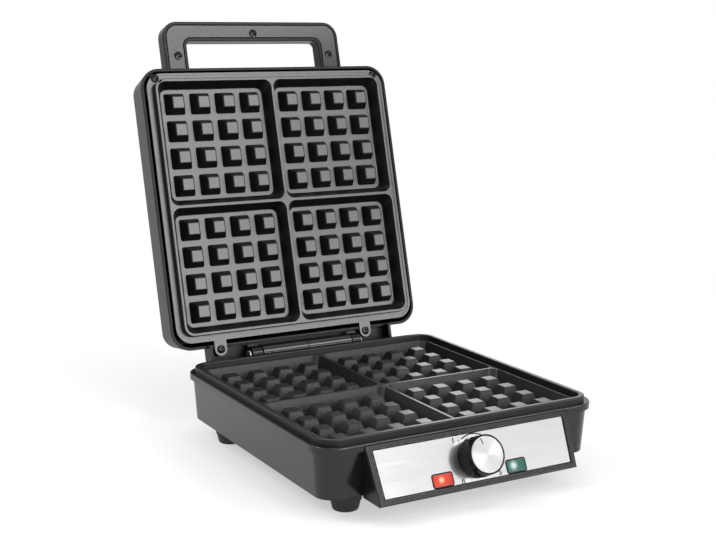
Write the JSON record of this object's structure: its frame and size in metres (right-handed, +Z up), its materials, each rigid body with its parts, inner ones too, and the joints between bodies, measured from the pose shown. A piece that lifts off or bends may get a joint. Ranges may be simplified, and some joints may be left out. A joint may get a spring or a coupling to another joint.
{
  "type": "waffle maker",
  "caption": "Countertop waffle maker with a hinged lid, square grid plates, looped handle and a sloping steel control panel with knob and lamps.",
  "frame": {"origin": "on the table, under the middle of the open appliance's outline", "axes": "+Z up, -Y towards the user and the control panel, +X to the user's right"},
  "size_m": [0.26, 0.43, 0.3628],
  "materials": {
    "body_plastic": "satin",
    "lid_plastic": "satin",
    "handle_plastic": "gloss",
    "insert_plastic": "gloss",
    "pan_plastic": "matte",
    "panel_plastic": "satin",
    "nonstick_coating": "satin",
    "brushed_fascia": "brushed",
    "knob_plastic": "gloss",
    "spun_cap": "spun",
    "red_lens": "gloss",
    "green_lens": "gloss",
    "neon_glass": "clear",
    "foot_rubber": "matte",
    "plated_steel": "zinc plated",
    "black_steel": "satin",
    "element_sheath": "heat tinted",
    "reflector_sheet": "satin",
    "control_plastic": "matte",
    "lead_sleeve": "matte",
    "brass_parts": "satin"
  },
  "bodies": {
    "base": {"base_housing": "body_plastic", "bottom_cover": "pan_plastic", "rubber_feet": "foot_rubber", "lower_plate_screws": "plated_steel", "lower_grid_plate": "nonstick_coating", "lower_heating_element": "element_sheath", "lower_element_clamps": "plated_steel", "lower_reflector": "reflector_sheet", "lower_thermal_fuse": "control_plastic", "control_panel_housing": "panel_plastic", "panel_fascia": "brushed_fascia", "panel_screws": "plated_steel", "power_lamp_lens": "red_lens", "ready_lamp_lens": "green_lens", "power_neon_lamp": "neon_glass", "ready_neon_lamp": "neon_glass", "thermostat_body": "control_plastic", "thermostat_nut": "brass_parts", "thermostat_sensor": "brass_parts", "terminal_block": "control_plastic", "element_leads": "lead_sleeve", "lamp_leads": "lead_sleeve", "cord_inlet": "foot_rubber", "hinge_barrel_left": "body_plastic", "hinge_barrel_right": "body_plastic", "hinge_pins": "plated_steel", "hinge_barrel_screws": "plated_steel"},
    "lid": {"upper_cover": "lid_plastic", "upper_grid_plate": "nonstick_coating", "upper_plate_screws": "black_steel", "upper_heating_element": "element_sheath", "upper_element_clamps": "plated_steel", "upper_reflector": "reflector_sheet", "upper_thermal_fuse": "control_plastic", "handle_front_shell": "insert_plastic", "handle_rear_shell": "handle_plastic", "handle_screws": "black_steel", "lid_hinge_arms": "black_steel", "hinge_arm_screws": "black_steel"},
    "knob": {"knob_body": "knob_plastic", "knob_cap": "spun_cap", "thermostat_spindle": "brass_parts"}
  },
  "joints": [
    {"name": "lid_hinge", "type": "hinge", "parent": "base", "child": "lid", "pos_m": [0, 0.08794, 0.06], "axis": [1, 0, 0], "range_deg": [0, 105.5]},
    {"name": "knob_turn", "type": "hinge", "parent": "base", "child": "knob", "pos_m": [0, -0.19446, 0.03642], "axis": [0, -0.9026, 0.4305], "range_deg": [-132, 132]}
  ]
}
